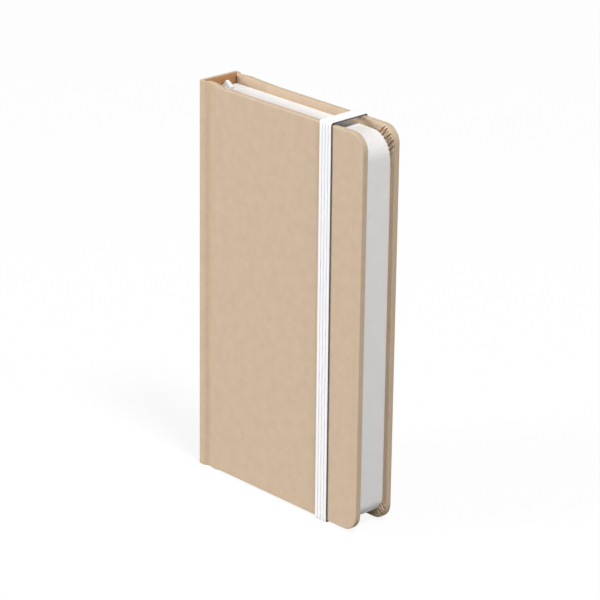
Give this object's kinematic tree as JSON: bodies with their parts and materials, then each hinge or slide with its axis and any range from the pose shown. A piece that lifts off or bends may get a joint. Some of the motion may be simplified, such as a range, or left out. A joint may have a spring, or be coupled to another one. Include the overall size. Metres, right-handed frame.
{
  "type": "diary",
  "caption": "Case-bound pocket diary with kraft paper covers, flat spine, pressed joints, sewn page sections, a ribbon marker and an elastic band that holds the front cover shut.",
  "frame": {"origin": "middle of the bounding box's bottom: the diary stands upright on its tail", "axes": "+Z from tail to head, +X from the spine to the fore-edge, -Y out of the front cover"},
  "size_m": [0.08, 0.0178, 0.1414],
  "materials": {
    "kraft_paper": "matt brown kraft paper with short fibres",
    "board": "grey bookbinding board",
    "page_paper": "smooth white uncoated paper",
    "endpaper": "smooth off-white uncoated paper",
    "mull": "open cotton gauze stiffened with glue",
    "sewing_thread": "twisted white thread",
    "ribbon": "white satin ribbon",
    "elastic": "white woven elastic with lengthwise ribs"
  },
  "bodies": {
    "back_case": {"spine_board": "board", "spine_paper": "kraft_paper", "spine_lining": "kraft_paper", "spine_mull": "mull", "binding_thread_1": "sewing_thread", "binding_thread_2": "sewing_thread", "binding_thread_3": "sewing_thread", "binding_thread_4": "sewing_thread", "back_flyleaf": "endpaper", "back_joint_endpaper": "endpaper", "back_joint_paper": "kraft_paper", "back_pastedown": "endpaper", "back_board": "board", "back_cover_paper": "kraft_paper", "elastic_end_head": "elastic", "elastic_end_tail": "elastic"},
    "front_cover": {"front_board": "board", "front_cover_paper": "kraft_paper", "front_pastedown": "endpaper", "front_joint_paper": "kraft_paper", "front_joint_endpaper": "endpaper"},
    "section_1": {"front_flyleaf": "endpaper", "page_section_1": "page_paper"},
    "section_2": {"page_section_2": "page_paper"},
    "section_3": {"page_section_3": "page_paper"},
    "section_4": {"page_section_4": "page_paper"},
    "section_5": {"page_section_5": "page_paper", "ribbon_marker": "ribbon"},
    "section_6": {"page_section_6": "page_paper"},
    "section_7": {"page_section_7": "page_paper"},
    "section_8": {"page_section_8": "page_paper"},
    "closure_band": {"elastic_band": "elastic"}
  },
  "joints": [
    {"name": "cover_opening", "type": "hinge", "parent": "back_case", "child": "front_cover", "pos_m": [-0.0377, -0.00825, 0.0707], "axis": [0, 0, -1], "range_deg": [0, 180]},
    {"name": "section_1_turn", "type": "hinge", "parent": "back_case", "child": "section_1", "pos_m": [-0.0371, -0.00585, 0.0707], "axis": [0, 0, -1], "range_deg": [0, 91.8]},
    {"name": "section_2_turn", "type": "hinge", "parent": "back_case", "child": "section_2", "pos_m": [-0.0371, -0.00585, 0.0707], "axis": [0, 0, -1], "range_deg": [0, 83.7]},
    {"name": "section_3_turn", "type": "hinge", "parent": "back_case", "child": "section_3", "pos_m": [-0.0371, -0.00585, 0.0707], "axis": [0, 0, -1], "range_deg": [0, 71.1]},
    {"name": "section_4_turn", "type": "hinge", "parent": "back_case", "child": "section_4", "pos_m": [-0.0371, -0.00585, 0.0707], "axis": [0, 0, -1], "range_deg": [0, 55.8]},
    {"name": "section_5_turn", "type": "hinge", "parent": "back_case", "child": "section_5", "pos_m": [-0.0371, -0.00585, 0.0707], "axis": [0, 0, -1], "range_deg": [0, 36.9], "deforming": ["ribbon_marker"]},
    {"name": "section_6_turn", "type": "hinge", "parent": "back_case", "child": "section_6", "pos_m": [-0.0371, -0.00585, 0.0707], "axis": [0, 0, -1], "range_deg": [0, 21.6]},
    {"name": "section_7_turn", "type": "hinge", "parent": "back_case", "child": "section_7", "pos_m": [-0.0371, -0.00585, 0.0707], "axis": [0, 0, -1], "range_deg": [0, 9]},
    {"name": "section_8_turn", "type": "hinge", "parent": "back_case", "child": "section_8", "pos_m": [-0.0371, -0.00585, 0.0707], "axis": [0, 0, -1], "range_deg": [0, 1.8]},
    {"name": "band_release", "type": "hinge", "parent": "back_case", "child": "closure_band", "pos_m": [0.023, 0.0082, 0.0707], "axis": [0, 0, 1], "range_deg": [0, 180], "deforming": ["elastic_band"]}
  ],
  "couplings": [
    {"joint": "section_1_turn", "follows": "cover_opening", "ratio": 0.51},
    {"joint": "section_2_turn", "follows": "cover_opening", "ratio": 0.465},
    {"joint": "section_3_turn", "follows": "cover_opening", "ratio": 0.395},
    {"joint": "section_4_turn", "follows": "cover_opening", "ratio": 0.31},
    {"joint": "section_5_turn", "follows": "cover_opening", "ratio": 0.205},
    {"joint": "section_6_turn", "follows": "cover_opening", "ratio": 0.12},
    {"joint": "section_7_turn", "follows": "cover_opening", "ratio": 0.05},
    {"joint": "section_8_turn", "follows": "cover_opening", "ratio": 0.01},
    {"joint": "band_release", "follows": "cover_opening", "ratio": 1}
  ]
}
